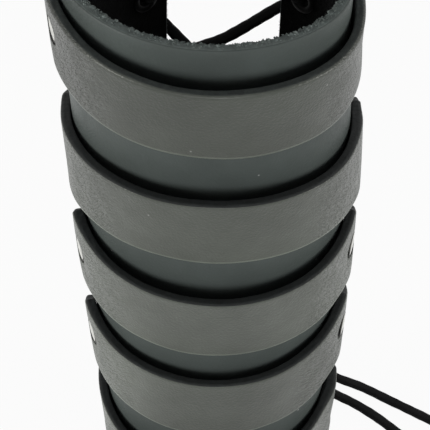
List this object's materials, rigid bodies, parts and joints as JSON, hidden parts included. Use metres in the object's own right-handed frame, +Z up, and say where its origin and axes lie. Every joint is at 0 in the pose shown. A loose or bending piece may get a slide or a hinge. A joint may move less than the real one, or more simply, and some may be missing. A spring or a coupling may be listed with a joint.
{
  "type": "leather forearm gauntlet",
  "caption": "Tapered leather forearm guard with riveted bands round its front and a laced open back.",
  "frame": {"origin": "centre of the footprint, at the wrist edge that it stands on", "axes": "+Z up from the wrist edge to the elbow rim, +Y to the laced back, -Y to the banded front, +X to the right seen from the front"},
  "size_m": [0.1681, 0.1116, 0.24],
  "materials": {
    "shell_leather": "matt dark grey grain leather, suede inside",
    "band_leather": "satin dark grey grain leather with bare cut edges",
    "rivet": "polished nickel plate",
    "eyelet": "black enamel",
    "lace": "matt black lace"
  },
  "bodies": {
    "shell": {"base_shell": "shell_leather", "rivet_caps_1": "rivet", "rivet_caps_2": "rivet", "rivet_caps_3": "rivet", "rivet_caps_4": "rivet", "rivet_caps_5": "rivet", "rivet_backs_1": "rivet", "rivet_backs_2": "rivet", "rivet_backs_3": "rivet", "rivet_backs_4": "rivet", "rivet_backs_5": "rivet", "eyelets_left": "eyelet", "eyelets_right": "eyelet", "lacing": "lace", "lace_end_left": "lace", "lace_end_right": "lace"},
    "band_1": {"band_1": "band_leather"},
    "band_2": {"band_2": "band_leather"},
    "band_3": {"band_3": "band_leather"},
    "band_4": {"band_4": "band_leather"},
    "band_5": {"band_5": "band_leather"}
  },
  "joints": [
    {"name": "band_1_tip", "type": "hinge", "parent": "shell", "child": "band_1", "pos_m": [0, -0.00694, 0.21804], "axis": [-1, 0, 0], "range_deg": [0, 7]},
    {"name": "band_2_tip", "type": "hinge", "parent": "shell", "child": "band_2", "pos_m": [0, 0.00839, 0.16048], "axis": [-1, 0, 0], "range_deg": [0, 7]},
    {"name": "band_3_tip", "type": "hinge", "parent": "shell", "child": "band_3", "pos_m": [0, -0.00407, 0.12084], "axis": [-1, 0, 0], "range_deg": [0, 7]},
    {"name": "band_4_tip", "type": "hinge", "parent": "shell", "child": "band_4", "pos_m": [0, -0.0025, 0.0785], "axis": [-1, 0, 0], "range_deg": [0, 7]},
    {"name": "band_5_tip", "type": "hinge", "parent": "shell", "child": "band_5", "pos_m": [0, 0.00582, 0.0299], "axis": [-1, 0, 0], "range_deg": [0, 7]}
  ]
}
